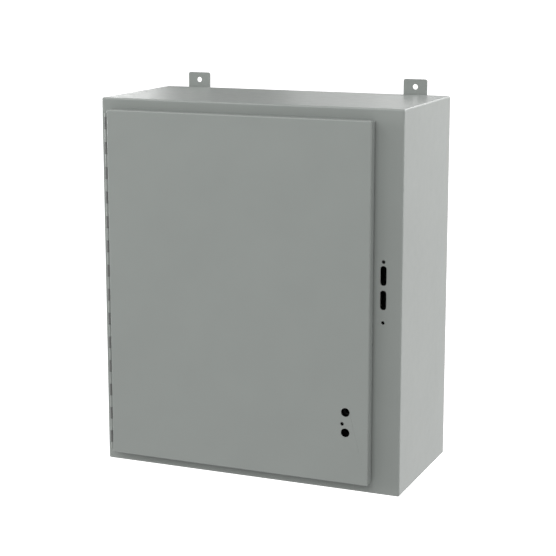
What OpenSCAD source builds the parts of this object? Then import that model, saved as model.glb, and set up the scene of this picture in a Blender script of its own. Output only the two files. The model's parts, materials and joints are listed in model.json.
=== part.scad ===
// Wall-mount disconnect enclosure, sheet steel, single hinged door.
//
// Frame: the origin is the centre of the four wall-mounting holes, on the wall plane.
// X runs to the right as seen from the front, Y runs into the wall, Z is up.
// Depths near the front are given as "f", measured from the front flange plane into the box.

/* [Body] */
// Width of the body
body_w = 644.5; // [620:0.5:720]
// Height of the body
body_h = 762; // [740:1:900]
// Depth from the wall plane to the front flange
body_d = 304.8; // [230:0.1:400]
// Thickness of the body and door sheet
sheet_t = 1.9; // [1.5:0.1:2.2]
// Outside radius of the body's bends
bend_r = 3.8; // [3:0.1:5]

/* [Wall lugs] */
// Width of a mounting lug
lug_w = 50.8; // [40:0.1:60]
// Thickness of a mounting lug
lug_t = 2.7; // [2:0.1:4]
// Height of a lug beyond the top or bottom of the body
lug_out = 31.75; // [28:0.05:40]
// Diameter of the hole in a lug
lug_hole_d = 11.1; // [8:0.1:13]
// Distance between the left and right lug holes
lug_pitch_x = 492.1; // [440:0.1:520]

/* [Door] */
// Margin of bare flange left of the door
door_margin_left = 23.1; // [22.5:0.1:25]
// Margin of bare flange right of the door, where the disconnect handle goes
door_margin_right = 57.3; // [55:0.1:70]
// Margin of bare flange above and below the door
door_margin_z = 22.1; // [20:0.1:26]
// How far the door face stands in front of the flange
door_proud = 24; // [22:0.5:28]
// Outside radius of the door's bends
door_bend_r = 2.6; // [2.3:0.1:3.5]
// Height of the collar around the door opening
collar_h = 13; // [11:0.5:14]

/* [Disconnect cutouts] */
// Thickness of the reinforced flange right of the door
flange_t = 2.7; // [2.1:0.1:3]
// Width of an operating slot
slot_w = 12.7; // [10:0.1:16]
// Length of an operating slot, end to end
slot_l = 38.9; // [30:0.1:44]
// Distance of the slots from the right side of the body
slot_edge = 38.3; // [34:0.1:42]
// Height of the middle of the slot pair above the middle of the body
slot_mid_z = 35.6; // [-60:0.1:120]
// Distance between the two slots' middles
slot_pitch = 48; // [46:0.1:56]
// Diameter of the screw holes above and below the slots
screw_hole_d = 7.1; // [5:0.1:9]

/* [Latch handle cutouts] */
// Spindle hole's place right of the body's middle
spindle_x = 217.2; // [214:0.1:218]
// Spindle hole's height above the body's middle
spindle_z = -213.5; // [-230:0.1:-150]
// Diameter of the spindle hole and of the lock hole under it
spindle_hole_d = 17.8; // [17:0.1:20]
// Drop from the spindle hole to the lock hole
lock_drop = 41.5; // [38:0.1:46]
// Diameter of the handle's locating hole
locating_hole_d = 7.2; // [5:0.1:8]

/* [Hinge] */
// Length of one hinge knuckle
knuckle_l = 25.4; // [24:0.1:26]
// Outside radius of the hinge barrel
barrel_r = 3.3; // [3:0.1:3.4]
// Radius of the hinge pin
hinge_pin_r = 1.6; // [1.3:0.05:1.8]

/* [Mounting panel] */
// Width of the mounting panel
panel_w = 533.4; // [400:0.1:535]
// Height of the mounting panel
panel_h = 685.8; // [500:0.1:690]

/* [Hidden] */
$fn = 48;
eps = 0.5;              // how far a cutting tool runs past the face that it cuts

paint_grey = [0.57, 0.59, 0.58];
panel_white = [0.93, 0.93, 0.91];
zinc = [0.72, 0.73, 0.72];
black_oxide = [0.10, 0.10, 0.11];
hinge_steel = [0.38, 0.39, 0.39];
gasket_black = [0.06, 0.06, 0.06];
nylon_white = [0.88, 0.87, 0.82];
pocket_grey = [0.20, 0.21, 0.22];

// Body
half_w = body_w / 2;
half_h = body_h / 2;
front_y = -body_d;
back_y = -lug_t;        // the body's back stands off the wall by the lugs
shell_d = body_d - lug_t;
cap_skirt = 14;         // how far a cap's skirt runs down the wrapper
front_return = 8;       // width of the shell's own return beside the front frame

// Door opening: the collar's outside faces, and what passes through it
collar_inset = 33;
collar_left = -half_w + collar_inset;
collar_right = half_w - door_margin_right - 10.2;
collar_top = half_h - collar_inset;
opening_mid_x = (collar_left + collar_right) / 2;

// Door pan
door_left = -half_w + door_margin_left;
door_right = half_w - door_margin_right;
door_top = half_h - door_margin_z;
door_w = door_right - door_left;
door_h = 2 * door_top;
door_gap = 4.5;         // from the flange to the door's back edge
door_pan_d = door_proud - door_gap;
door_mid_x = (door_left + door_right) / 2;
skin_f = -door_proud + sheet_t;     // inside face of the door's skin

// Gasket: a ring on the door's skin that meets the collar's edge
gasket_w = 12;
gasket_clear = 0.3;
gasket_t = -collar_h - gasket_clear - skin_f;

// Hinge, along the left of the door
hinge_x = -half_w + 11;
hinge_f = -3.75;
hinge_leaf_t = 1.5;
hinge_top = half_h - 31;
hinge_l = 706.5;
top_stub = 8;           // part knuckle left where the hinge stock is cut
knuckle_gap = 0.4;
pin_clear = 0.05;
door_knuckles = 14;
door_leaf_leg = 12;     // how far the door leaf runs up inside the door's return

// Handle cutouts
locating_dx = -6.6;
locating_dz = -24;

// Disconnect cutouts
slot_x = half_w - slot_edge;
screw_rise = 27.2;      // from the upper slot's middle to the upper screw hole
screw_drop = 44.6;      // from the lower slot's middle to the lower screw hole
screw_hole_heights = [slot_mid_z + slot_pitch / 2 + screw_rise, slot_mid_z - slot_pitch / 2 - screw_drop];

// Latch: a cam on the handle spindle drives two rods, one up and one down
cam_f = 5.5;            // front face of the cam plate
cam_t = 4;
cam_r = 24;
hub_r = 8;
hub_front_f = -12;
socket_w = 8;
crank_r = 18;           // from the spindle to a rod's pin
crank_xy = crank_r * sqrt(0.5);
cam_pin_r = 3;
tongue_w = 18;
tongue_l = 52;
rod_offset = (crank_r + crank_xy) / 2;
rod_w = 20;
rod_t = 3.2;
rod_f = 10.1;
rod_slot_l = 12.6;
rod_slot_h = 7.8;
rod_tail = 8;           // bar beyond the pin's slot
cam_pin_l = 4.6;
cam_pin_head_r = 4.8;
cam_pin_head_t = 1.2;
ring_f = 0.8;           // front face of the cam's retaining ring
ring_t = 1.2;
ring_r = 13;
roller_r = 9.5;
roller_w = 8;
roller_pin_r = 3;
roller_f = rod_f + rod_t / 2;
roller_z = 334;         // rollers' height above and below the middle, latch withdrawn
fork_ear_t = 2.5;
fork_gap = 0.6;         // each side of a roller
fork_base = 20;         // from the roller's axis to the fork's base
fork_base_t = 3;
fork_base_d = 16;
fork_ear_r = 6;
housing_w = 53.6;
housing_top = spindle_z + 35;
housing_bottom = spindle_z - lock_drop - 22;
housing_web_f = 2.5;
housing_t = 2.4;
lock_clear_r = 11;      // hole behind the lock hole, for the lock's barrel

// Panel
stud_pitch_x = 508;
stud_pitch_z = 660.4;
stud_r = 3.95;
stud_collar_r = 9;
stud_l = 40;
panel_gap = 15.4;       // from the back sheet to the panel
panel_t = 2.7;
back_in_y = back_y - sheet_t;
panel_y = back_in_y - panel_gap;
washer_t = 1.6;
panel_washer_r = 8.7;
panel_nut_af = 12.7;
panel_nut_h = 6.8;
thread_clear = 0.05;    // from a stud to its nut's bore

// Ground stud on the back and bonding stud on the door
ground_x = -half_w + 24;
ground_z = -half_h + 60;
ground_r = 3;
ground_l = 25;
ground_washer_y = back_in_y - 2;
ground_washer_r = 7;
ground_nut_af = 11;
ground_nut_h = 5;
bond_x = -half_w + 52;
bond_z = -half_h + 75;
bond_l = 18;
bond_nut_out = 9;       // from the door's skin to the nut

// Data pocket
pocket_x = -48;
pocket_z = -70;
pocket_w = 305;
pocket_h = 200;
pocket_d = 26;
pocket_wall = 2.5;
pocket_back_h = 30;     // how far the pocket's back plate stands above its front
pocket_thumb_r = 34;
rivet_dx = 120;
rivet_z = pocket_z + pocket_h / 2 + 16;
rivet_r = 2.4;
rivet_head_r = 5;
rivet_head_t = 1.8;

// ---------------------------------------------------------------- shared shapes

module rounded_rect(w, h, r) {
    square([w - 2 * r, h], center = true);
    square([w, h - 2 * r], center = true);
    for (x = [-1, 1], y = [-1, 1])
        translate([x * (w / 2 - r), y * (h / 2 - r)]) circle(r = r);
}

// A block on z = 0 whose upright edges, top edges and top corners are rounded.
module rounded_block(w, d, h, r) {
    linear_extrude(h - r) rounded_rect(w, d, r);
    translate([-w / 2 + r, -d / 2 + r, 0]) cube([w - 2 * r, d - 2 * r, h]);
    for (y = [-1, 1])
        translate([-w / 2 + r, y * (d / 2 - r), h - r]) rotate([0, 90, 0]) cylinder(r = r, h = w - 2 * r);
    for (x = [-1, 1])
        translate([x * (w / 2 - r), d / 2 - r, h - r]) rotate([90, 0, 0]) cylinder(r = r, h = d - 2 * r);
    for (x = [-1, 1], y = [-1, 1])
        translate([x * (w / 2 - r), y * (d / 2 - r), h - r]) sphere(r = r);
}

// A bent and welded sheet pan, closed on top and open below.
module pan(w, d, h, r, t) {
    difference() {
        rounded_block(w, d, h, r);
        translate([0, 0, -eps]) rounded_block(w - 2 * t, d - 2 * t, h - t + eps, r - t);
    }
}

// A hole along Y that starts at depth y and runs h into the box.
module hole_y(x, y, z, r, h) {
    translate([x, y + h, z]) rotate([90, 0, 0]) cylinder(r = r, h = h);
}

module disc_y(x, f, z, r, h) {
    translate([x, front_y + f + h, z]) rotate([90, 0, 0]) cylinder(r = r, h = h);
}

// A block given by its middle in X and Z and its front depth.
module block_f(x, f, z, w, d, h) {
    translate([x - w / 2, front_y + f, z - h / 2]) cube([w, d, h]);
}

module hex_nut(x, y, z, across_flats, h, bore_r) {
    translate([x, y, z]) rotate([90, 0, 0]) difference() {
        cylinder(r = across_flats / sqrt(3), h = h, $fn = 6);
        translate([0, 0, -eps]) cylinder(r = bore_r, h = h + 2 * eps);
    }
}

// ---------------------------------------------------------------- welded body

module body_wrapper() {
    color(paint_grey)
        translate([0, back_y - shell_d / 2, -half_h + cap_skirt]) linear_extrude(body_h - 2 * cap_skirt)
            difference() {
                rounded_rect(body_w, shell_d, bend_r);
                rounded_rect(body_w - 2 * sheet_t, shell_d - 2 * sheet_t, bend_r - sheet_t);
                translate([0, -shell_d / 2])
                    square([body_w - 2 * front_return, 4 * sheet_t], center = true);
            }
}

module end_cap() {
    color(paint_grey) difference() {
        translate([0, back_y - shell_d / 2, half_h - cap_skirt])
            pan(body_w, shell_d, cap_skirt, bend_r, sheet_t);
        translate([-half_w + front_return, front_y - eps, half_h - cap_skirt - eps])
            cube([body_w - 2 * front_return, sheet_t + 2 * eps, cap_skirt - front_return + eps]);
    }
}

module top_cap() {
    end_cap();
}

module bottom_cap() {
    mirror([0, 0, 1]) end_cap();
}

module opening_block(grow, y0, h) {
    translate([collar_left - grow, y0, -collar_top - grow])
        cube([collar_right - collar_left + 2 * grow, h, 2 * collar_top + 2 * grow]);
}

// The flat front left of, above and below the door opening.
module front_frame() {
    color(paint_grey) difference() {
        translate([-half_w + front_return, front_y, -half_h + front_return])
            cube([collar_right + half_w - front_return, sheet_t, body_h - 2 * front_return]);
        translate([collar_left, front_y - eps, -collar_top])
            cube([collar_right - collar_left + eps, sheet_t + 2 * eps, 2 * collar_top]);
    }
}

module door_collar() {
    color(paint_grey) difference() {
        opening_block(0, front_y - collar_h, collar_h + sheet_t);
        opening_block(-sheet_t, front_y - collar_h - eps, collar_h + sheet_t + 2 * eps);
    }
}

module obround_cut(x, z) {
    for (end = [-1, 1])
        hole_y(x, front_y - eps, z + end * (slot_l - slot_w) / 2, slot_w / 2, flange_t + 2 * eps);
    block_f(x, -eps, z, slot_w, flange_t + 2 * eps, slot_l - slot_w);
}

module disconnect_flange() {
    color(paint_grey) difference() {
        translate([collar_right, front_y, -half_h + front_return])
            cube([half_w - front_return - collar_right, flange_t, body_h - 2 * front_return]);
        for (side = [-1, 1]) obround_cut(slot_x, slot_mid_z + side * slot_pitch / 2);
        for (z = screw_hole_heights)
            hole_y(slot_x, front_y - eps, z, screw_hole_d / 2, flange_t + 2 * eps);
    }
}

// side is -1 for left and 1 for right; end is 1 for top and -1 for bottom.
module lug(side, end) {
    corner_r = 4;
    overlap = 60;
    color(paint_grey) translate([side * lug_pitch_x / 2, 0, 0])
        mirror([0, 0, end < 0 ? 1 : 0])
            difference() {
                translate([0, 0, half_h - overlap]) rotate([90, 0, 0])
                    linear_extrude(lug_t) translate([0, (lug_out + overlap) / 2])
                        rounded_rect(lug_w, lug_out + overlap, corner_r);
                hole_y(0, -lug_t - eps, half_h + lug_out / 2, lug_hole_d / 2, lug_t + 2 * eps);
            }
}

// ---------------------------------------------------------------- hinge

// Bottom of knuckle n, counted from the top; even knuckles belong to the body.
function knuckle_z(n) = max(hinge_top - top_stub - n * knuckle_l, hinge_top - hinge_l);
function knuckle_h(n) = (n == 0 ? hinge_top : knuckle_z(n - 1)) - knuckle_z(n);

module knuckle(n) {
    translate([hinge_x, front_y + hinge_f, knuckle_z(n) + knuckle_gap / 2])
        cylinder(r = barrel_r, h = knuckle_h(n) - knuckle_gap);
}

module hinge_bore() {
    translate([hinge_x, front_y + hinge_f, hinge_top - hinge_l - eps])
        cylinder(r = hinge_pin_r + pin_clear, h = hinge_l + 2 * eps);
}

module hinge_body_leaf() {
    leaf_left = -half_w + 2.5;
    notch_x = hinge_x - barrel_r - 0.6;
    color(paint_grey) difference() {
        union() {
            translate([leaf_left, front_y - hinge_leaf_t, hinge_top - hinge_l])
                cube([notch_x - leaf_left, hinge_leaf_t, hinge_l]);
            for (n = [0 : 2 : 2 * door_knuckles]) {
                knuckle(n);
                translate([notch_x - 1, front_y - hinge_leaf_t, knuckle_z(n) + knuckle_gap / 2])
                    cube([hinge_x - notch_x + 1, hinge_leaf_t, knuckle_h(n) - knuckle_gap]);
            }
        }
        hinge_bore();
    }
}

module hinge_door_leaf() {
    notch_x = hinge_x + barrel_r + 0.6;
    leg_x = door_left + sheet_t;
    leaf_back_f = hinge_f + hinge_leaf_t / 2;
    color(hinge_steel) difference() {
        union() {
            translate([notch_x, front_y + leaf_back_f - hinge_leaf_t, hinge_top - hinge_l])
                cube([leg_x + hinge_leaf_t - notch_x, hinge_leaf_t, hinge_l]);
            translate([leg_x, front_y + leaf_back_f - hinge_leaf_t - door_leaf_leg, hinge_top - hinge_l])
                cube([hinge_leaf_t, hinge_leaf_t + door_leaf_leg, hinge_l]);
            for (n = [1 : 2 : 2 * door_knuckles - 1]) {
                knuckle(n);
                translate([hinge_x, front_y + leaf_back_f - hinge_leaf_t, knuckle_z(n) + knuckle_gap / 2])
                    cube([notch_x - hinge_x + 1, hinge_leaf_t, knuckle_h(n) - knuckle_gap]);
            }
        }
        hinge_bore();
    }
}

module hinge_pin() {
    color(zinc) translate([hinge_x, front_y + hinge_f, hinge_top - hinge_l])
        cylinder(r = hinge_pin_r, h = hinge_l);
}

// ---------------------------------------------------------------- panel and ground

module at_panel_studs() {
    for (x = [-1, 1], z = [-1, 1])
        translate([opening_mid_x + x * stud_pitch_x / 2, 0, z * stud_pitch_z / 2]) children();
}

module panel_studs() {
    color(zinc) at_panel_studs() {
        translate([0, back_in_y, 0]) rotate([90, 0, 0]) cylinder(r = stud_collar_r, h = panel_gap);
        translate([0, back_in_y, 0]) rotate([90, 0, 0]) cylinder(r = stud_r, h = stud_l);
    }
}

module mounting_panel() {
    flange = 12;
    hole_r = 4.6;
    color(panel_white) difference() {
        translate([opening_mid_x - panel_w / 2, panel_y - panel_t, -panel_h / 2]) union() {
            cube([panel_w, panel_t, panel_h]);
            for (x = [0, panel_w - panel_t])
                translate([x, 0, 0]) cube([panel_t, panel_t + flange, panel_h]);
        }
        at_panel_studs() hole_y(0, panel_y - panel_t - eps, 0, hole_r, panel_t + 2 * eps);
    }
}

// A flat washer whose back face lies at depth y.
module washer(x, y, z, r, bore_r) {
    translate([x, y, z]) rotate([90, 0, 0]) difference() {
        cylinder(r = r, h = washer_t);
        translate([0, 0, -eps]) cylinder(r = bore_r, h = washer_t + 2 * eps);
    }
}

module panel_washers() {
    bore_clear = 0.3;
    color(zinc) at_panel_studs() washer(0, panel_y - panel_t, 0, panel_washer_r, stud_r + bore_clear);
}

module panel_nuts() {
    nut_y = panel_y - panel_t - washer_t;
    color(zinc) at_panel_studs() hex_nut(0, nut_y, 0, panel_nut_af, panel_nut_h, stud_r + thread_clear);
}

module ground_stud() {
    color(zinc) translate([ground_x, back_in_y, ground_z])
        rotate([90, 0, 0]) cylinder(r = ground_r, h = ground_l);
}

module ground_washer() {
    bore_clear = 0.2;
    color(zinc) washer(ground_x, ground_washer_y, ground_z, ground_washer_r, ground_r + bore_clear);
}

module ground_nut() {
    nut_y = ground_washer_y - washer_t;
    color(zinc) hex_nut(ground_x, nut_y, ground_z, ground_nut_af, ground_nut_h, ground_r + thread_clear);
}

// ---------------------------------------------------------------- door

module door_panel() {
    hole_h = sheet_t + 2 * eps;
    hole_start = front_y - door_proud - eps;
    color(paint_grey) difference() {
        translate([door_mid_x, front_y - door_gap, 0]) rotate([90, 0, 0])
            pan(door_w, door_h, door_pan_d, door_bend_r, sheet_t);
        for (drop = [0, lock_drop])
            hole_y(spindle_x, hole_start, spindle_z - drop, spindle_hole_d / 2, hole_h);
        hole_y(spindle_x + locating_dx, hole_start, spindle_z + locating_dz, locating_hole_d / 2, hole_h);
    }
}

module door_gasket() {
    half = gasket_w / 2;
    f0 = front_y + skin_f;
    color(gasket_black) difference() {
        opening_block(half - sheet_t / 2, f0, gasket_t);
        opening_block(-half - sheet_t / 2, f0 - eps, gasket_t + 2 * eps);
    }
}

// A slotted hat channel that stiffens the door and carries door equipment.
module door_bar(x) {
    crown_w = 24;
    foot_w = 11;
    rise = 15;
    t = 1.6;
    length = 600;
    slot_step = 50;
    bar_slot_w = 8;
    bar_slot_l = 22;
    color(paint_grey) difference() {
        union() {
            block_f(x, skin_f + rise - t, 0, crown_w, t, length);
            for (s = [-1, 1]) {
                block_f(x + s * (crown_w - t) / 2, skin_f, 0, t, rise, length);
                block_f(x + s * (crown_w + foot_w) / 2, skin_f, 0, foot_w, t, length);
            }
        }
        for (z = [-length / 2 + slot_step / 2 : slot_step : length / 2 - slot_step / 2])
            block_f(x, skin_f + rise - t - eps, z, bar_slot_w, t + 2 * eps, bar_slot_l);
    }
}

module door_bar_left() {
    door_bar(-250);
}

module door_bar_right() {
    door_bar(155);
}

// An open-topped document pocket with a thumb notch in its front wall.
module data_pocket() {
    inside_w = pocket_w - 2 * pocket_wall;
    inside_d = pocket_d - 2 * pocket_wall;
    inside_h = pocket_h - pocket_wall + 2 * eps;
    inside_z = pocket_z + pocket_wall / 2 + eps;
    back_h = pocket_h + pocket_back_h;
    rivet_bore_r = rivet_r + 0.2;
    color(pocket_grey) difference() {
        union() {
            block_f(pocket_x, skin_f, pocket_z, pocket_w, pocket_d, pocket_h);
            block_f(pocket_x, skin_f, pocket_z + pocket_back_h / 2, pocket_w, pocket_wall, back_h);
        }
        block_f(pocket_x, skin_f + pocket_wall, inside_z, inside_w, inside_d, inside_h);
        translate([pocket_x, front_y + skin_f + pocket_d + eps, pocket_z + pocket_h / 2])
            rotate([90, 0, 0]) cylinder(r = pocket_thumb_r, h = pocket_wall + 2 * eps);
        for (x = [-1, 1])
            disc_y(pocket_x + x * rivet_dx, skin_f - eps, rivet_z, rivet_bore_r, pocket_wall + 2 * eps);
    }
}

module pocket_rivets() {
    color(black_oxide) for (x = [-1, 1]) {
        disc_y(pocket_x + x * rivet_dx, skin_f, rivet_z, rivet_r, pocket_wall);
        disc_y(pocket_x + x * rivet_dx, skin_f + pocket_wall, rivet_z, rivet_head_r, rivet_head_t);
    }
}

module door_bond_stud() {
    color(zinc) disc_y(bond_x, skin_f, bond_z, ground_r, bond_l);
}

module door_bond_nut() {
    nut_y = front_y + skin_f + bond_nut_out;
    color(zinc) hex_nut(bond_x, nut_y, bond_z, ground_nut_af, ground_nut_h, ground_r + thread_clear);
}

// ---------------------------------------------------------------- latch

// A lipped channel welded inside the door; its web carries the cam's hub.
module latch_housing() {
    mid_z = (housing_top + housing_bottom) / 2;
    height = housing_top - housing_bottom;
    foot_w = 9;
    side_x = (housing_w - housing_t) / 2;
    side_d = housing_web_f - skin_f + housing_t;
    color(black_oxide) difference() {
        union() {
            block_f(spindle_x, housing_web_f, mid_z, housing_w, housing_t, height);
            for (s = [-1, 1]) {
                block_f(spindle_x + s * side_x, skin_f, mid_z, housing_t, side_d, height);
                block_f(spindle_x + s * (housing_w - foot_w) / 2, skin_f, mid_z, foot_w, housing_t, height);
            }
        }
        disc_y(spindle_x, housing_web_f - eps, spindle_z, hub_r + pin_clear, housing_t + 2 * eps);
        disc_y(spindle_x, housing_web_f - eps, spindle_z - lock_drop, lock_clear_r, housing_t + 2 * eps);
    }
}

// The cam plate, its tongue pointing up while the latch is withdrawn, and the hub with a square socket.
module latch_cam() {
    socket_depth = 12;
    color(black_oxide) difference() {
        union() {
            disc_y(spindle_x, cam_f, spindle_z, cam_r, cam_t);
            disc_y(spindle_x, hub_front_f, spindle_z, hub_r, cam_f - hub_front_f + cam_t / 2);
            block_f(spindle_x, cam_f, spindle_z + (tongue_l - tongue_w / 2) / 2, tongue_w, cam_t,
                    tongue_l - tongue_w / 2);
            disc_y(spindle_x, cam_f, spindle_z + tongue_l - tongue_w / 2, tongue_w / 2, cam_t);
        }
        block_f(spindle_x, hub_front_f - eps, spindle_z, socket_w, socket_depth + eps, socket_w);
    }
}

module cam_pins() {
    head_f = cam_f + cam_t + cam_pin_l - 0.2;
    color(zinc) for (s = [-1, 1]) {
        disc_y(spindle_x + s * crank_xy, cam_f + cam_t, spindle_z + s * crank_xy, cam_pin_r, cam_pin_l);
        disc_y(spindle_x + s * crank_xy, head_f, spindle_z + s * crank_xy, cam_pin_head_r, cam_pin_head_t);
    }
}

module cam_retaining_ring() {
    bore_clear = 0.02;
    color(zinc) difference() {
        disc_y(spindle_x, ring_f, spindle_z, ring_r, ring_t);
        disc_y(spindle_x, ring_f - eps, spindle_z, hub_r + bore_clear, ring_t + 2 * eps);
    }
}

// A flat rod for the upper half; end is 1 up and -1 down. Its foot is slotted for the cam's pin.
module latch_rod(end) {
    x = spindle_x - end * rod_offset;
    pin_z = spindle_z - end * crank_xy;
    foot_z = pin_z - end * rod_tail;
    base_z = end * (roller_z - fork_base);
    ear_x = roller_w / 2 + fork_gap + fork_ear_t / 2;
    fork_w = 2 * ear_x + fork_ear_t;
    fork_mid_z = base_z + end * fork_base_t / 2;
    ear_f = roller_f - fork_ear_r;
    ear_mid_z = base_z + end * fork_base / 2;
    bore_clear = 0.03;
    color(zinc) difference() {
        union() {
            block_f(x, rod_f, (foot_z + base_z) / 2, rod_w, rod_t, abs(base_z - foot_z));
            block_f(x, roller_f - fork_base_d / 2, fork_mid_z, fork_w, fork_base_d, fork_base_t);
            for (s = [-1, 1]) {
                block_f(x + s * ear_x, ear_f, ear_mid_z, fork_ear_t, 2 * fork_ear_r, fork_base);
                translate([x + s * ear_x - fork_ear_t / 2, front_y + roller_f, end * roller_z])
                    rotate([0, 90, 0]) cylinder(r = fork_ear_r, h = fork_ear_t);
            }
        }
        block_f(x, rod_f - eps, pin_z, rod_slot_l, rod_t + 2 * eps, rod_slot_h);
        translate([x - fork_w, front_y + roller_f, end * roller_z])
            rotate([0, 90, 0]) cylinder(r = roller_pin_r + bore_clear, h = 2 * fork_w);
    }
}

module roller_pin(end) {
    x = spindle_x - end * rod_offset;
    half_l = roller_w / 2 + fork_gap + fork_ear_t + pin_clear;
    head_t = 1.2;
    head_r = 4.4;
    color(zinc) translate([x, front_y + roller_f, end * roller_z]) rotate([0, 90, 0]) {
        translate([0, 0, -half_l]) cylinder(r = roller_pin_r, h = 2 * half_l);
        for (z = [-half_l - head_t, half_l]) translate([0, 0, z]) cylinder(r = head_r, h = head_t);
    }
}

module roller(end) {
    color(nylon_white)
        translate([spindle_x - end * rod_offset - roller_w / 2, front_y + roller_f, end * roller_z])
            rotate([0, 90, 0]) difference() {
                cylinder(r = roller_r, h = roller_w);
                translate([0, 0, -eps]) cylinder(r = roller_pin_r + pin_clear, h = roller_w + 2 * eps);
            }
}

module top_latch_rod() {
    latch_rod(1);
}

module bottom_latch_rod() {
    latch_rod(-1);
}

module top_roller_pin() {
    roller_pin(1);
}

module bottom_roller_pin() {
    roller_pin(-1);
}

module top_roller() {
    roller(1);
}

module bottom_roller() {
    roller(-1);
}

// An angle on the door whose upright plate has a window that a rod slides in.
module rod_guide(end, z) {
    x = spindle_x - end * rod_offset;
    upright_w = rod_w + 8;
    upright_d = 40;
    foot_h = 24;
    foot_z = z - 11;
    slide_clear = 0.4;
    window_w = rod_w + 2 * slide_clear;
    window_d = rod_t + 2 * slide_clear;
    color(zinc) difference() {
        union() {
            block_f(x, skin_f, z, upright_w, upright_d, housing_t);
            block_f(x, skin_f, foot_z, upright_w, housing_t, foot_h);
        }
        block_f(x, rod_f - slide_clear, z, window_w, window_d, housing_t + 2 * eps);
    }
}

module rod_guide_upper() {
    rod_guide(1, 265);
}

module rod_guide_middle() {
    rod_guide(1, 20);
}

module rod_guide_lower() {
    rod_guide(-1, -292);
}

// ---------------------------------------------------------------- nodes

body_wrapper();
top_cap();
bottom_cap();
front_frame();
door_collar();
disconnect_flange();
lug(-1, 1);  // lug_top_left
lug(1, 1);  // lug_top_right
lug(-1, -1);  // lug_bottom_left
lug(1, -1);  // lug_bottom_right
hinge_body_leaf();
hinge_pin();
panel_studs();
mounting_panel();
panel_washers();
panel_nuts();
ground_stud();
ground_washer();
ground_nut();
door_panel();
hinge_door_leaf();
door_gasket();
door_bar_left();
door_bar_right();
data_pocket();
pocket_rivets();
latch_housing();
rod_guide_upper();
rod_guide_middle();
rod_guide_lower();
door_bond_stud();
door_bond_nut();
latch_cam();
cam_pins();
cam_retaining_ring();
top_latch_rod();
top_roller_pin();
top_roller();
bottom_latch_rod();
bottom_roller_pin();
bottom_roller();
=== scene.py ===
"""Looks of a wall-mount disconnect enclosure: paint, plating, weld beads, threads and the foam gasket.

The frame is in metres: +X right, +Y into the wall, +Z up. The door hinges on the left.
"""
import json
import math

import bmesh
import bpy
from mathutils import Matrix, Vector


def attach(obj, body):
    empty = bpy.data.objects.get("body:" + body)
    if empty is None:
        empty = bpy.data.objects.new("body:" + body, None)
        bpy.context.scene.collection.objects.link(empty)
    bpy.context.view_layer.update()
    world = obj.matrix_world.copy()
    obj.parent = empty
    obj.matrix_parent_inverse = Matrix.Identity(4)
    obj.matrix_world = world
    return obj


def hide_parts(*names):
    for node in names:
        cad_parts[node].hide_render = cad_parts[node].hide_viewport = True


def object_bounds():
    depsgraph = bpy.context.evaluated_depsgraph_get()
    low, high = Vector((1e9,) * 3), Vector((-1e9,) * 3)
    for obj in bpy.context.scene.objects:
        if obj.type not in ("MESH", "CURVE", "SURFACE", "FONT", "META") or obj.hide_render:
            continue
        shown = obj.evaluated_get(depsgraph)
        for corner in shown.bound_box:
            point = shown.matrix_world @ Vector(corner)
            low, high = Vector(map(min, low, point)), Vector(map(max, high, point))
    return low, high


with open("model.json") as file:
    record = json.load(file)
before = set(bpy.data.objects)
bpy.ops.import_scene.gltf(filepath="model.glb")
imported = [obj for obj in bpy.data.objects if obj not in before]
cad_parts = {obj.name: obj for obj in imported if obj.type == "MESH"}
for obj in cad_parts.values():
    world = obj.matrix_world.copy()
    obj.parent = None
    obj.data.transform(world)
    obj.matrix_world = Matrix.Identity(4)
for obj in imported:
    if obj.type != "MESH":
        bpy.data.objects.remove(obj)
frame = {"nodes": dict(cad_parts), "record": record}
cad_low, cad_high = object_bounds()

MM = 0.001
NODES = frame["nodes"]
X, Y, Z = Vector((1, 0, 0)), Vector((0, 1, 0)), Vector((0, 0, 1))
MIX_FACTOR, MIX_ONE, MIX_OTHER, MIX_RESULT = 0, 6, 7, 2     # sockets of a Mix node that blends colours


def add_node(tree, kind, **settings):
    node = tree.nodes.new(kind)
    for key, value in settings.items():
        setattr(node, key, value)
    return node


# ---------------------------------------------------------------- camera, light and floor

CAMERA_PLACE = (1.220, -3.085, 0.671)
CAMERA_TURN = 22.56       # degrees to the left of straight ahead
CAMERA_DROP = 10.85       # degrees below level
CAMERA_LENS = 100.9       # mm
CAMERA_SHIFT_UP = -0.05


def make_camera():
    data = bpy.data.cameras.new("camera")
    data.sensor_width = 36.0
    data.lens = CAMERA_LENS
    data.shift_y = CAMERA_SHIFT_UP
    data.dof.use_dof = False
    data.clip_start, data.clip_end = 0.05, 100.0
    camera = bpy.data.objects.new("camera", data)
    camera.location = CAMERA_PLACE
    camera.rotation_euler = (math.radians(90 - CAMERA_DROP), 0, math.radians(CAMERA_TURN))
    bpy.context.scene.collection.objects.link(camera)
    bpy.context.scene.camera = camera


# Softboxes aimed at the object: place, width, height, power in watts, whether it lights matt surfaces,
# and whether it shows in glossy ones.
SOFTBOXES = {
    "front": ((0.8, -5.2, 3.4), 5.0, 3.5, 160, True, True),
    "left": ((-6.0, -1.6, 0.8), 3.0, 3.0, 241, True, True),
    "front_left": ((-3.5, -3.5, 4.0), 3.0, 3.0, 63, True, True),
    "right": ((5.5, 0.2, 0.8), 3.0, 3.0, 43, True, True),
    "high_right": ((4.5, -0.5, 4.0), 3.0, 3.0, 47, True, True),
    "rear_side": ((3.6, 2.6, 1.3), 2.6, 2.6, 351, True, False),
    "rear_left": ((-4.2, 5.0, 1.2), 2.4, 1.6, 33, True, True),
    "rear": ((-1.75, 5.4, 1.3), 0.9, 1.4, 3.4, True, True),
    "rear_middle": ((-1.2, 5.4, 1.5), 1.0, 1.6, 2.6, True, True),
    "rear_right": ((1.4, 4.6, 2.0), 1.6, 1.4, 11, True, True),
    "rear_high": ((0.3, 5.0, 2.4), 1.4, 1.0, 19.4, True, True),
    "overhead": ((-1.6, -0.4, 3.8), 3.0, 4.0, 37, False, True),
}

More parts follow.
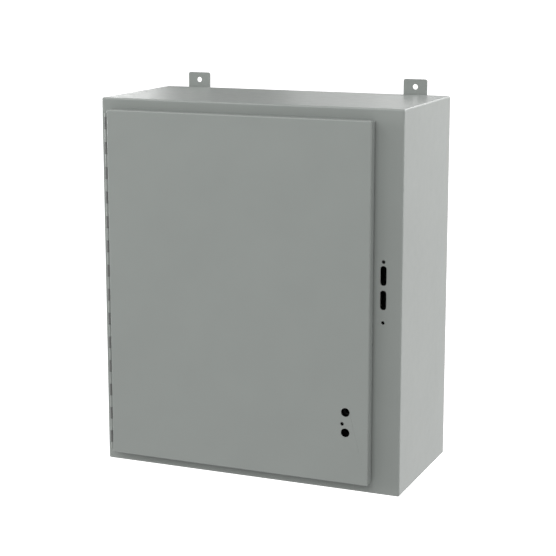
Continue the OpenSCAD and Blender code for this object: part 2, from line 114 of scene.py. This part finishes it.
# In the photograph the side face is a little less green than the front, so the lamp that lights it is tinted.
REAR_SIDE_TINT = (1.0, 0.955, 0.985)


def softbox(name, place, width, height, power, lights_matt, shows_in_gloss):
    data = bpy.data.lights.new(name, "AREA")
    data.shape = "RECTANGLE"
    data.size, data.size_y = width, height
    data.energy = power
    lamp = bpy.data.objects.new(name, data)
    lamp.location = place
    middle = (cad_low + cad_high) / 2
    lamp.rotation_euler = (middle - Vector(place)).to_track_quat("-Z", "Y").to_euler()
    lamp.visible_camera = False
    lamp.visible_diffuse = lights_matt
    lamp.visible_glossy = shows_in_gloss
    bpy.context.scene.collection.objects.link(lamp)


# Brightness of the room by height, from straight down (0) through level (0.5) to straight up (1).
ROOM_IN_FRONT = (
    (0.0, 0.82), (0.3, 0.82), (0.4, 0.10), (0.45, 0.15), (0.55, 0.15), (0.6, 0.10), (0.7, 0.44))
ROOM_BEHIND = ((0.0, 0.51), (0.3, 0.51), (0.4, 0.02), (0.6, 0.02), (0.7, 0.44))
ROOM_CHANGES_OVER = (-0.3, 0.3)     # the front's levels give way to the rear's between these directions on Y
ROOM_STRENGTH = 0.93


def make_room_light():
    """A plain studio's own light: bright from the pale floor, dim from the walls, and between from above."""
    world = bpy.data.worlds.new("studio")
    world.use_nodes = True
    tree = world.node_tree
    split = add_node(tree, "ShaderNodeSeparateXYZ")
    direction = add_node(tree, "ShaderNodeTexCoord").outputs["Generated"]
    tree.links.new(direction, split.inputs["Vector"])
    height, depth = add_node(tree, "ShaderNodeMapRange"), add_node(tree, "ShaderNodeMapRange")
    height.inputs["From Min"].default_value = -1.0
    tree.links.new(split.outputs["Z"], height.inputs["Value"])
    for socket, number in zip(("From Min", "From Max"), ROOM_CHANGES_OVER):
        depth.inputs[socket].default_value = number
    tree.links.new(split.outputs["Y"], depth.inputs["Value"])
    mix = add_node(tree, "ShaderNodeMix", data_type="RGBA")
    tree.links.new(depth.outputs["Result"], mix.inputs[MIX_FACTOR])
    for levels, socket in ((ROOM_IN_FRONT, MIX_ONE), (ROOM_BEHIND, MIX_OTHER)):
        ramp = add_node(tree, "ShaderNodeValToRGB")
        while len(ramp.color_ramp.elements) < len(levels):
            ramp.color_ramp.elements.new(0.5)
        for stop, (position, level) in zip(ramp.color_ramp.elements, levels):
            stop.position = position
            stop.color = (level, level, level, 1)
        tree.links.new(height.outputs["Result"], ramp.inputs["Fac"])
        tree.links.new(ramp.outputs["Color"], mix.inputs[socket])
    background = tree.nodes["Background"]
    tree.links.new(mix.outputs[MIX_RESULT], background.inputs["Color"])
    background.inputs["Strength"].default_value = ROOM_STRENGTH
    bpy.context.scene.world = world


def make_studio():
    bpy.context.scene.view_settings.view_transform = "Standard"
    make_room_light()
    for name, settings in SOFTBOXES.items():
        softbox(name, *settings)
    bpy.data.lights["rear_side"].color = REAR_SIDE_TINT


FLOOR_DROP = 3.2          # metres from the object down to the floor, because the object hangs on a wall
# Radius and height of the backdrop, in metres. The other views' camera sees about 50 m.
BACKDROP = (
    (16.0, 0.0), (24.0, 0.2), (30.0, 1.6), (35.2, 5.2), (38.4, 11.2), (39.2, 20.0), (36.0, 32.0),
    (24.0, 41.0), (0.01, 44.0))


def make_floor():
    """A pale floor that curves up into a white backdrop all round."""
    floor_z = cad_low.z - FLOOR_DROP
    around = 48
    points, faces = [], []
    for radius, rise in BACKDROP:
        for k in range(around):
            a = 2 * math.pi * k / around
            points.append((radius * math.cos(a), radius * math.sin(a), floor_z + rise))
    for i in range(len(BACKDROP) - 1):
        low, high = i * around, (i + 1) * around
        for k in range(around):
            after = (k + 1) % around
            faces.append((low + k, low + after, high + after, high + k))
    faces.append(tuple(range(around)))
    mesh = bpy.data.meshes.new("floor")
    mesh.from_pydata(points, [], faces)
    floor = bpy.data.objects.new("floor", mesh)
    bpy.context.scene.collection.objects.link(floor)
    material = bpy.data.materials.new("floor")
    material.use_nodes = True
    shader = material.node_tree.nodes["Principled BSDF"]
    shader.inputs["Base Color"].default_value = (0.9, 0.9, 0.9, 1)
    shader.inputs["Roughness"].default_value = 0.9
    shader.inputs["Emission Color"].default_value = (1, 1, 1, 1)
    shader.inputs["Emission Strength"].default_value = 1.0
    material.cycles.emission_sampling = "NONE"
    mesh.materials.append(material)
    floor.visible_diffuse = False
    floor.visible_glossy = False
    floor.visible_shadow = False


# ---------------------------------------------------------------- materials

class Shading:
    """A material's node tree with short calls for the few node kinds used here."""

    def __init__(self, name, metallic=0.0, **constants):
        self.material = bpy.data.materials.new(name)
        self.material.use_nodes = True
        self.tree = self.material.node_tree
        self.shader = self.tree.nodes["Principled BSDF"]
        self.shader.inputs["Metallic"].default_value = metallic
        for socket, value in constants.items():
            self.shader.inputs[socket.replace("_", " ")].default_value = value
        self.place = self.add("ShaderNodeTexCoord").outputs["Object"]
        self.height = None

    def add(self, kind, **settings):
        return add_node(self.tree, kind, **settings)

    def link(self, source, target):
        self.tree.links.new(source, target)

    def stretched(self, scale):
        """Coordinates squeezed by a factor per axis, for a grain that runs one way."""
        node = self.add("ShaderNodeMapping")
        node.inputs["Scale"].default_value = scale
        self.link(self.place, node.inputs["Vector"])
        return node.outputs["Vector"]

    def noise(self, size, detail=2.0, rough=0.5, distortion=0.0, place=None):
        """Noise whose features are about `size` metres across."""
        node = self.add("ShaderNodeTexNoise")
        node.inputs["Scale"].default_value = 1.0 / size
        node.inputs["Detail"].default_value = detail
        node.inputs["Roughness"].default_value = rough
        node.inputs["Distortion"].default_value = distortion
        self.link(place or self.place, node.inputs["Vector"])
        return node.outputs["Fac"]

    def cells(self, size, feature="F1"):
        """Distance to the nearest of scattered points about `size` metres apart."""
        node = self.add("ShaderNodeTexVoronoi", feature=feature)
        node.inputs["Scale"].default_value = 1.0 / size
        self.link(self.place, node.inputs["Vector"])
        return node.outputs["Distance"]

    def spread(self, value, low, high, from_low=0.3, from_high=0.7):
        """Maps a value's usual range, from_low to from_high, to low and high."""
        node = self.add("ShaderNodeMapRange")
        numbers = {"From Min": from_low, "From Max": from_high, "To Min": low, "To Max": high}
        for socket, number in numbers.items():
            node.inputs[socket].default_value = number
        self.link(value, node.inputs["Value"])
        return node.outputs["Result"]

    def blend(self, factor, one, other):
        """A colour between two, by a factor that varies over the surface."""
        node = self.add("ShaderNodeMix", data_type="RGBA")
        self.link(factor, node.inputs[MIX_FACTOR])
        node.inputs[MIX_ONE].default_value = (*one, 1)
        node.inputs[MIX_OTHER].default_value = (*other, 1)
        return node.outputs[MIX_RESULT]

    def colour(self, value):
        self.link(value, self.shader.inputs["Base Color"])

    def roughness(self, value):
        self.link(value, self.shader.inputs["Roughness"])

    def bump(self, value, depth, strength):
        """Adds a bump `depth` metres high on top of any bump set before it."""
        node = self.add("ShaderNodeBump")
        node.inputs["Distance"].default_value = depth
        node.inputs["Strength"].default_value = strength
        self.link(value, node.inputs["Height"])
        if self.height is not None:
            self.link(self.height, node.inputs["Normal"])
        self.height = node.outputs["Normal"]
        self.link(self.height, self.shader.inputs["Normal"])


def shade(colour, factor):
    return tuple(c * factor for c in colour)


def enamel(name, colour, roughness):
    """Baked enamel: orange peel, a finer grain on top of it and a faint cloudiness."""
    m = Shading(name, Specular_IOR_Level=0.5)
    cloud = m.spread(m.noise(0.09, detail=3.0), 0, 1)
    m.colour(m.blend(cloud, shade(colour, 0.985), shade(colour, 1.015)))
    m.roughness(m.spread(m.noise(0.02, detail=3.0), roughness - 0.03, roughness + 0.03))
    m.bump(m.noise(0.0034, detail=1.5, rough=0.4), depth=0.00006, strength=0.5)
    m.bump(m.noise(0.0009), depth=0.000012, strength=0.4)
    return m.material


def zinc():
    """Bright zinc plate: rolled grain, a faint blue and straw tint, and duller patches."""
    m = Shading("zinc_plate_look", metallic=1.0)
    grain = m.noise(0.0006, detail=3.0, rough=0.6, place=m.stretched((1, 1, 0.06)))
    patch = m.spread(m.noise(0.018, detail=4.0, rough=0.6, distortion=0.6), 0, 1, 0.35, 0.65)
    m.colour(m.blend(patch, (0.60, 0.62, 0.65), (0.66, 0.64, 0.57)))
    m.roughness(m.spread(m.noise(0.007, detail=4.0, rough=0.7), 0.3, 0.46))
    m.bump(grain, depth=0.00002, strength=0.35)
    return m.material


def black_oxide():
    """Blackened steel: near black, with browner patches."""
    m = Shading("black_oxide_look", metallic=0.85)
    patch = m.spread(m.noise(0.012, detail=4.0, rough=0.6), 0, 1)
    m.colour(m.blend(patch, (0.018, 0.018, 0.02), (0.035, 0.034, 0.033)))
    m.roughness(m.spread(m.noise(0.004, detail=3.0), 0.38, 0.55))
    m.bump(m.noise(0.0008, detail=3.0), depth=0.00002, strength=0.4)
    return m.material


def hinge_steel():
    """Painted shade on the door's hinge knuckles: a dark, dull, mottled grey with a drawn grain along the
    hinge. It is darker than the paint so that these knuckles read as the shaded gaps of the hinge.
    """
    m = Shading("hinge_painted_shade_look", metallic=0.35)
    grain = m.stretched((1, 1, 0.05))
    patch = m.spread(m.noise(0.02, detail=4.0, rough=0.6, distortion=0.4), 0, 1)
    m.colour(m.blend(patch, (0.145, 0.148, 0.146), (0.178, 0.18, 0.176)))
    m.roughness(m.spread(m.noise(0.005, detail=3.0), 0.48, 0.62))
    m.bump(m.noise(0.0005, detail=3.0, rough=0.6, place=grain), depth=0.00002, strength=0.35)
    return m.material


def foam():
    """Poured polyurethane foam: a matt skin with fine pores."""
    m = Shading("gasket_foam_look", Specular_IOR_Level=0.25)
    pores = m.cells(0.0011)
    m.colour(m.blend(m.spread(pores, 0, 1, 0.1, 0.6), (0.010, 0.010, 0.010), (0.024, 0.024, 0.024)))
    m.roughness(m.spread(m.noise(0.003, detail=3.0), 0.78, 0.95))
    m.bump(pores, depth=0.00018, strength=0.6)
    m.bump(m.noise(0.006, detail=3.0), depth=0.0002, strength=0.5)
    return m.material


def moulded(name, colour, grain_size, grain_depth, roughness):
    """Injection-moulded plastic with a fine etched grain."""
    m = Shading(name, Specular_IOR_Level=0.45)
    grain = m.cells(grain_size, "SMOOTH_F1")
    cloud = m.spread(m.noise(0.03, detail=3.0), 0, 1)
    m.colour(m.blend(cloud, shade(colour, 0.93), shade(colour, 1.07)))
    m.roughness(m.spread(grain, roughness - 0.07, roughness + 0.07, 0.0, 0.6))
    m.bump(grain, depth=grain_depth, strength=0.6)
    return m.material


ENCLOSURE_GREY = (0.292, 0.312, 0.298)
PANEL_WHITE = (0.78, 0.785, 0.76)
POCKET_GREY = (0.045, 0.048, 0.052)
NYLON = (0.78, 0.75, 0.66)


def make_materials():
    return {
        "enclosure_paint": enamel("enclosure_paint_look", ENCLOSURE_GREY, 0.33),
        "panel_paint": enamel("panel_paint_look", PANEL_WHITE, 0.34),
        "zinc_plate": zinc(),
        "black_oxide": black_oxide(),
        # hinge_steel is a painted shade: a grey darker than the paint, standing in for the shade in the gaps
        # between the hinge knuckles.
        "hinge_steel": hinge_steel(),
        "gasket_foam": foam(),
        "pocket_plastic": moulded("pocket_plastic_look", POCKET_GREY, 0.0012, 0.00008, 0.52),
        "nylon": moulded("nylon_look", NYLON, 0.0007, 0.00002, 0.4),
    }


def dress_cad_nodes(looks):
    """Gives each CAD node the material of the slot that the record names."""
    for row in frame["record"]["subparts"]:
        mesh = NODES[row["node"]].data
        for index in range(len(mesh.materials)):
            mesh.materials[index] = looks[row["material_slot"]]


# ---------------------------------------------------------------- softened edges of CAD nodes

# Width of the rounded edges, in mm. The other CAD nodes keep their edges as they are.
SOFTENED = {
    "lug_top_left": 0.35, "lug_top_right": 0.35, "lug_bottom_left": 0.35, "lug_bottom_right": 0.35,
    "hinge_pin": 0.2,
    "door_collar": 0.4, "mounting_panel": 0.8, "panel_washers": 0.25, "ground_washer": 0.2,
    "door_bar_left": 0.45, "door_bar_right": 0.45, "data_pocket": 0.9,
    "latch_housing": 0.5, "rod_guide_upper": 0.4, "rod_guide_middle": 0.4, "rod_guide_lower": 0.4,
    "latch_cam": 0.5, "cam_pins": 0.35, "cam_retaining_ring": 0.25,
    "top_latch_rod": 0.5, "bottom_latch_rod": 0.5, "top_roller_pin": 0.35, "bottom_roller_pin": 0.35,
    "door_panel": 0.3,
}


def soften(node, width):
    """Rounds the sharp edges of a CAD node with modifiers, so that they catch the light."""
    piece = NODES[node]
    piece.data.polygons.foreach_set("use_smooth", [True] * len(piece.data.polygons))
    weld = piece.modifiers.new("weld", "WELD")
    weld.merge_threshold = 0.01 * MM
    bevel = piece.modifiers.new("bevel", "BEVEL")
    bevel.width = width * MM
    bevel.segments = 2
    bevel.limit_method = "ANGLE"
    bevel.angle_limit = math.radians(40)
    bevel.use_clamp_overlap = True
    flat = piece.modifiers.new("flat_faces", "WEIGHTED_NORMAL")
    flat.keep_sharp = False
    flat.weight = 100


# ---------------------------------------------------------------- mesh pieces

class Shape:
    """Points and faces gathered for one piece."""

    def __init__(self):
        self.points = []
        self.faces = []

    def grid(self, rows, loop=False, capped=False):
        """Quads over closed rows of points. loop joins the last row to the first, capped closes both ends."""
        first, width = len(self.points), len(rows[0])
        self.points += [p for row in rows for p in row]
        for i in range(len(rows) if loop else len(rows) - 1):
            for j in range(width):
                corners = ((i, j), (i, j + 1), (i + 1, j + 1), (i + 1, j))
                self.faces.append([first + (r % len(rows)) * width + c % width for r, c in corners])
        if capped:
            self.faces.append([first + j for j in range(width)])
            self.faces.append([first + (len(rows) - 1) * width + j for j in range(width)])

    def piece(self, name, body, slot, replaced=(), sharp=35):
        """Makes the piece. Edges that turn by more than `sharp` degrees stay sharp."""
        mesh = bpy.data.meshes.new(name)
        mesh.from_pydata(self.points, [], self.faces)
        sides = bmesh.new()
        sides.from_mesh(mesh)
        bmesh.ops.recalc_face_normals(sides, faces=sides.faces)
        sides.to_mesh(mesh)
        sides.free()
        mesh.polygons.foreach_set("use_smooth", [True] * len(mesh.polygons))
        mesh.set_sharp_from_angle(angle=math.radians(sharp))
        mesh.materials.append(LOOKS[slot])
        piece = bpy.data.objects.new(name, mesh)
        bpy.context.scene.collection.objects.link(piece)
        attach(piece, body)
        if replaced:
            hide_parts(*replaced)
        return piece


def at(x, y, z):
    """A place given in mm."""
    return Vector((x, y, z)) * MM


def away(axis, angle):
    """The direction square to an axis that lies at an angle round it."""
    side = (Z if abs(axis.z) < 0.5 else X).cross(axis).normalized()
    return side * math.cos(angle) + axis.cross(side) * math.sin(angle)


def off_axis(foot, axis, angle, radius, out):
    """The place `out` mm along an axis from its foot and `radius` mm off it, at an angle round it."""
    return foot + (axis * out + away(axis, angle) * radius) * MM


def turned(shape, foot, axis, profile, around=40):
    """A lathe-turned ring: profile is a closed outline of radius and distance along the axis, in mm."""
    rows = []
    for radius, out in profile:
        turns = (2 * math.pi * k / around for k in range(around))
        rows.append([off_axis(foot, axis, a, radius, out) for a in turns])
    shape.grid(rows, loop=True)


def thread(shape, foot, axis, radius, start, end, pitch):
    """A rolled screw thread with a chamfered end, all in mm."""
    around = 28
    depth = 0.55 * pitch
    chamfer, taper = 1.2, 0.9           # length of the chamfer, and radius lost per mm of it
    steps_per_turn = 6
    steps = math.ceil((end - start) / (pitch / steps_per_turn))
    rows = []
    for i in range(steps + 1):
        out = start + (end - start) * i / steps
        tip = max(0.0, out - (end - chamfer)) * taper
        row = []
        for k in range(around):
            turn = k / around
            phase = (out / pitch - turn) % 1.0
            # A flat root and a flat crest, joined by straight flanks.
            groove = depth * min(1.0, max(0.0, 1.3 - abs(phase - 0.5) * 4))
            row.append(off_axis(foot, axis, 2 * math.pi * turn, min(radius - groove, radius - tip), out))
        rows.append(row)
    shape.grid(rows, capped=True)


def hex_nut(shape, foot, axis, across_flats, height, bore, turn):
    """A hexagon nut with both ends chamfered and its bore countersunk, in mm, turned by some degrees."""
    around = 72
    face_r = 0.475 * across_flats
    sink = 0.45

    def ring(radius_and_out):
        """A ring whose radius and height may follow the hexagon's radius at each angle."""
        row = []
        for k in range(around):
            a = 2 * math.pi * k / around
            from_flat = ((math.degrees(a) + 30) % 60) - 30
            r, out = radius_and_out(across_flats / 2 / math.cos(math.radians(from_flat)))
            row.append(off_axis(foot, axis, a + math.radians(turn), r, out))
        return row

    slope = math.tan(math.radians(30))
    shape.grid([
        ring(lambda hexagon: (bore, sink)), ring(lambda hexagon: (bore + sink, 0)),
        ring(lambda hexagon: (face_r, 0)), ring(lambda hexagon: (hexagon, (hexagon - face_r) * slope)),
        ring(lambda hexagon: (hexagon, height - (hexagon - face_r) * slope)),
        ring(lambda hexagon: (face_r, height)), ring(lambda hexagon: (bore + sink, height)),
        ring(lambda hexagon: (bore, height - sink)),
    ], loop=True)


def bead(shape, stations, leg, ripple, loop=False):
    """A rippled fillet weld, tapered at its free ends.

    A station is a corner and the two directions that lead away from it along the faces.
    """
    across = 7
    travelled = 0.0                     # mm
    rows = []
    for i, (corner, one, other) in enumerate(stations):
        if i:
            travelled += (corner - stations[i - 1][0]).length / MM
        from_end = min(i, len(stations) - 1 - i) * ripple / 4 / leg
        size = leg if loop else leg * (1 - 0.7 * max(0.0, 1 - from_end) ** 2)
        # A bead run by hand is never quite even.
        size *= 1 + 0.05 * math.sin(travelled * 0.43) + 0.04 * math.sin(travelled * 1.13 + 2)
        row = [corner - (one + other) * 0.1 * MM]
        for k in range(across):
            t = k / (across - 1)
            lag = (2 * t - 1) ** 2 * 0.45
            crest = abs(math.sin(math.pi * (travelled / ripple + lag)))
            swell = (0.2 + 0.12 * crest) * math.sin(math.pi * t)
            row.append(corner + (one * (1 - t + swell) + other * (t + swell)) * size * MM)
        rows.append(row)
    shape.grid(rows, loop=loop, capped=not loop)


def straight_bead(shape, start, end, one, other, leg):
    ripple = 1.7
    count = max(2, round((end - start).length / MM / (ripple / 4)))
    stations = [(start.lerp(end, i / count), one, other) for i in range(count + 1)]
    bead(shape, stations, leg, ripple)


def round_bead(shape, foot, axis, radius, leg, ripple):
    """A weld bead round the foot of a stud, with a whole number of ripples."""
    length = 2 * math.pi * radius
    count = round(length / (ripple / 4))
    stations = []
    for i in range(count):
        out = away(axis, 2 * math.pi * i / count)
        stations.append((foot + out * radius * MM, out, axis))
    bead(shape, stations, leg, length / round(length / ripple), loop=True)


def weld_mark(shape, place, axis):
    """The shallow ringed print that a spot welder leaves."""
    profile = [(0.01, 0.04), (1.5, 0.05), (2.1, 0.12), (2.6, 0.3), (3.0, 0.28), (3.5, -0.05)]
    turned(shape, place, axis, profile, 28)


# ---------------------------------------------------------------- pieces, placed in mm

OUT = -Y                  # from the wall into the box
FRONT = -304.8            # the front flange, on Y
SKIN = FRONT - 22.1       # inside face of the door's skin
BODY_BACK = -2.7          # outside face of the back sheet, held off the wall by the lugs
INSIDE_BACK = -4.6        # inside face of the back sheet
LUG_X = 246.05
PANEL_STUD_X = (-17.25 - 254, -17.25 + 254)
PANEL_STUD_Z = (-330.2, 330.2)
GROUND = (-298.25, -321.0)          # ground stud on the back sheet, X and Z
BOND = (-270.25, -306.0)            # bonding stud on the door
TOP_ROD_X, BOTTOM_ROD_X = 201.84, 232.56
ROLLER_Z = 334.0                    # above and below the middle


def make_gasket():
    """A poured foam bead, crowned, with round corners and a slight swelling where the pour closed."""
    left, right, top = -288.3, 253.8, 347.05
    corner_r, height, half = 8.0, 8.7, 6.0
    step, corner_steps = 9.0, 8
    seam_row = 12                       # the row of points where the pour closed
    outline = []                        # X, Z and the direction away from the door's middle
    corners = ((right, top, 0), (left, top, 90), (left, -top, 180), (right, -top, 270))
    for x, z, start in corners:
        mid = (x - math.copysign(corner_r, x - (left + right) / 2), z - math.copysign(corner_r, z))
        for k in range(corner_steps + 1):
            a = math.radians(start + k * 90 / corner_steps)
            outline.append((mid[0] + corner_r * math.cos(a), mid[1] + corner_r * math.sin(a),
                            math.cos(a), math.sin(a)))
    path = []
    for i, here in enumerate(outline):
        after = outline[(i + 1) % len(outline)]
        gap = math.hypot(after[0] - here[0], after[1] - here[1])
        count = max(1, round(gap / step))
        path += [tuple(p + (q - p) * k / count for p, q in zip(here, after)) for k in range(count)]
    profile = [(-1.0, 0.0), (-0.985, 0.22), (-0.88, 0.55), (-0.66, 0.83), (-0.36, 0.96), (0.0, 1.0)]
    profile += [(-w, h) for w, h in reversed(profile[:-1])]
    rows = []
    for i, (x, z, out_x, out_z) in enumerate(path):
        seam = math.exp(-((i - seam_row) / 1.6) ** 2)
        wide = half * (0.972 + 0.018 * math.sin(i * 0.7) + 0.01 * math.sin(i * 1.9 + 1))
        tall = height * (0.97 + 0.006 * math.sin(i * 0.53 + 2) + 0.022 * seam)
        rows.append([at(x + out_x * w * wide, SKIN + h * tall, z + out_z * w * wide) for w, h in profile])
    shape = Shape()
    shape.grid(rows, loop=True)
    shape.piece("gasket_bead", "door", "gasket_foam", ["door_gasket"], 80)


def make_hinge():
    """Hinge leaves whose knuckles are rolled from the leaf's own sheet."""
    axis_x, axis_y = -311.25, FRONT - 3.75
    top, length, stub, knuckle, gap = 350.0, 706.5, 8.0, 25.4, 0.4
    knuckles = 29
    thick, barrel = 1.5, 3.3
    middle_r = barrel - thick / 2
    bottom = top - length
    edges = [top] + [max(top - stub - n * knuckle, bottom) for n in range(knuckles)]
    body_leaf, door_leaf = Shape(), Shape()

    def strip(shape, line, low, high):
        """Sheet bent along a line on X and Y, between two heights."""
        rows = []
        for i, p in enumerate(line):
            before, after = line[max(i - 1, 0)], line[min(i + 1, len(line) - 1)]
            run = Vector((after[0] - before[0], after[1] - before[1])).normalized()
            nx, ny = -run.y * thick / 2, run.x * thick / 2
            rows.append([at(p[0] + nx, p[1] + ny, low), at(p[0] + nx, p[1] + ny, high),
                         at(p[0] - nx, p[1] - ny, high), at(p[0] - nx, p[1] - ny, low)])
        shape.grid(rows, capped=True)

    def curl(start, sweep):
        """The rolled part of a knuckle, from an angle about the pin through a sweep, in degrees."""
        steps = 22
        turns = [math.radians(start + sweep * k / steps) for k in range(steps + 1)]
        return [(axis_x + middle_r * math.cos(a), axis_y + middle_r * math.sin(a)) for a in turns]

    # Where a leaf's flat sheet rises into its knuckles.
    body_lead = [(-316.2, FRONT - 0.75), (-315.0, FRONT - 0.76), (-313.6, FRONT - 0.86),
                 (-312.4, FRONT - 1.05)]
    door_lead = [(-306.3, axis_y), (-307.2, axis_y - 0.15), (-308.3, axis_y - 0.95),
                 (-309.6, axis_y - 2.05)]
    for n in range(knuckles):
        low, high = edges[n + 1] + gap / 2, edges[n] - gap / 2
        if n % 2:
            strip(door_leaf, door_lead + curl(278, -292), low, high)
        else:
            strip(body_leaf, body_lead + curl(90, -292), low, high)
    strip(body_leaf, [(-319.75, FRONT - 0.75), (-315.15, FRONT - 0.75)], bottom, top)
    bend_x, bend_r = -298.6, 2.0        # the door leaf turns here to run up inside the door's edge
    bend = [(-307.35, axis_y), (bend_x, axis_y)]
    bend += [(bend_x + bend_r * math.sin(a), axis_y - bend_r * (1 - math.cos(a)))
             for a in (math.radians(15 * k) for k in range(1, 7))]
    bend.append((-296.6, FRONT - 15.0))
    strip(door_leaf, bend, bottom, top)
    body_leaf.piece("rolled_body_leaf", "body", "enclosure_paint", ["hinge_body_leaf"])
    # The door leaf's knuckles take the darker hinge_steel look. It is a painted shade for the gaps of the
    # hinge.
    door_leaf.piece("rolled_door_leaf", "door", "hinge_steel", ["hinge_door_leaf"])


def make_fasteners():
    """Threaded studs and their nuts. No two of the panel's nuts end up turned alike."""
    studs, nuts = Shape(), Shape()
    collar = [(9.0, 0), (9.0, 14.8), (8.4, 15.4), (3.3, 15.4)]
    for x in PANEL_STUD_X:
        for k, z in enumerate(PANEL_STUD_Z):
            foot = at(x, INSIDE_BACK, z)
            turned(studs, foot, OUT, collar)
            thread(studs, foot, OUT, radius=3.95, start=15.2, end=40, pitch=1.25)
            turn = 12 + 17 * k + 0.05 * x
            hex_nut(nuts, at(x, -24.3, z), OUT, across_flats=12.7, height=6.8, bore=3.45, turn=turn)
    studs.piece("threaded_panel_studs", "body", "zinc_plate", ["panel_studs"])
    nuts.piece("chamfered_panel_nuts", "body", "zinc_plate", ["panel_nuts"])
    small_nut = {"across_flats": 11, "height": 5, "bore": 2.6}
    ground_stud, ground_nut = Shape(), Shape()
    foot = at(GROUND[0], INSIDE_BACK, GROUND[1])
    thread(ground_stud, foot, OUT, radius=3.0, start=0, end=25, pitch=1.0)
    hex_nut(ground_nut, at(GROUND[0], -8.2, GROUND[1]), OUT, **small_nut, turn=21)
    ground_stud.piece("threaded_ground_stud", "body", "zinc_plate", ["ground_stud"])
    ground_nut.piece("chamfered_ground_nut", "body", "zinc_plate", ["ground_nut"])
    bond_stud, bond_nut = Shape(), Shape()
    foot = at(BOND[0], SKIN, BOND[1])
    thread(bond_stud, foot, Y, radius=3.0, start=0, end=18, pitch=1.0)
    hex_nut(bond_nut, at(BOND[0], SKIN + 9, BOND[1]), Y, **small_nut, turn=8)
    bond_stud.piece("threaded_bond_stud", "door", "zinc_plate", ["door_bond_stud"])
    bond_nut.piece("chamfered_bond_nut", "door", "zinc_plate", ["door_bond_nut"])


def make_welds():
    """Weld beads round the lugs and stud feet, and the prints of spot welds on the door."""
    lug_half, lug_inner = 25.4, 321.0   # half a lug's width, and its inner edge's height from the middle
    lug_corner, bead_end, leg = 6.0, 374.0, 2.0
    bar_foot, mark_pitch = 17.5, 110
    on_body = Shape()
    for side in (-1, 1):
        for end in (-1, 1):
            for edge in (-1, 1):
                x = side * LUG_X + edge * lug_half
                start, stop = end * (lug_inner + lug_corner), end * bead_end
                straight_bead(on_body, at(x, BODY_BACK, start), at(x, BODY_BACK, stop), X * edge, Y, leg)
            left, right = (at(side * LUG_X + reach, BODY_BACK, end * lug_inner) for reach in (-19, 19))
            straight_bead(on_body, left, right, Z * -end, Y, leg)
    for x in PANEL_STUD_X:
        for z in PANEL_STUD_Z:
            round_bead(on_body, at(x, INSIDE_BACK, z), OUT, radius=9.0, leg=2.2, ripple=1.6)
    foot = at(GROUND[0], INSIDE_BACK, GROUND[1])
    round_bead(on_body, foot, OUT, radius=2.9, leg=1.3, ripple=1.2)
    on_body.piece("body_weld_beads", "body", "enclosure_paint", sharp=60)
    on_door = Shape()
    round_bead(on_door, at(BOND[0], SKIN, BOND[1]), Y, radius=2.9, leg=1.5, ripple=1.2)
    for bar in (-250, 155):
        for edge in (-bar_foot, bar_foot):
            for k in range(6):
                weld_mark(on_door, at(bar + edge, SKIN + 1.6, -275 + mark_pitch * k), Y)
    on_door.piece("door_weld_marks", "door", "enclosure_paint", sharp=60)
    on_latch = Shape()
    for x, z in ((TOP_ROD_X, 265), (TOP_ROD_X, 20), (BOTTOM_ROD_X, -292)):
        for edge in (-8, 8):
            weld_mark(on_latch, at(x + edge, SKIN + 2.4, z - 13), Y)
    on_latch.piece("guide_weld_marks", "door", "zinc_plate", sharp=60)


def make_rivets():
    """Blind rivets: a shank, a domed head and the hollow where the mandrel broke off."""
    rivets = Shape()
    profile = [(2.4, -2.4), (2.4, 0), (5.0, 0), (5.0, 0.35), (4.6, 0.95), (3.7, 1.45), (2.4, 1.74),
               (1.25, 1.78), (1.1, 1.3), (0.9, 0.7), (0.01, 0.6)]
    pocket_back = SKIN + 2.5
    for x in (-168, 72):
        turned(rivets, at(x, pocket_back, 46), Y, profile)
    rivets.piece("domed_pocket_rivets", "door", "black_oxide", ["pocket_rivets"], 50)


def make_rollers():
    """Moulded rollers with a crowned tread, a recessed web and a hub."""
    width = 8
    profile = [(3.15, 0.3), (3.5, 0), (5.0, 0), (5.4, 0.3), (5.6, 1.5), (7.2, 1.5), (7.5, 0.4), (7.9, 0.1),
               (8.8, 0.35), (9.25, 1.0), (9.45, 2.4)]
    profile += [(r, width - out) for r, out in reversed(profile)]
    for name, x, z in (("top", TOP_ROD_X, ROLLER_Z), ("bottom", BOTTOM_ROD_X, -ROLLER_Z)):
        shape = Shape()
        turned(shape, at(x - width / 2, FRONT + 11.7, z), X, profile, 56)
        shape.piece(name + "_moulded_roller", name + "_wheel", "nylon", [name + "_roller"], 50)


# ---------------------------------------------------------------- build

make_camera()
make_studio()
make_floor()
LOOKS = make_materials()
dress_cad_nodes(LOOKS)
for node_name, edge_width in SOFTENED.items():
    soften(node_name, edge_width)
make_gasket()
make_hinge()
make_fasteners()
make_welds()
make_rivets()
make_rollers()
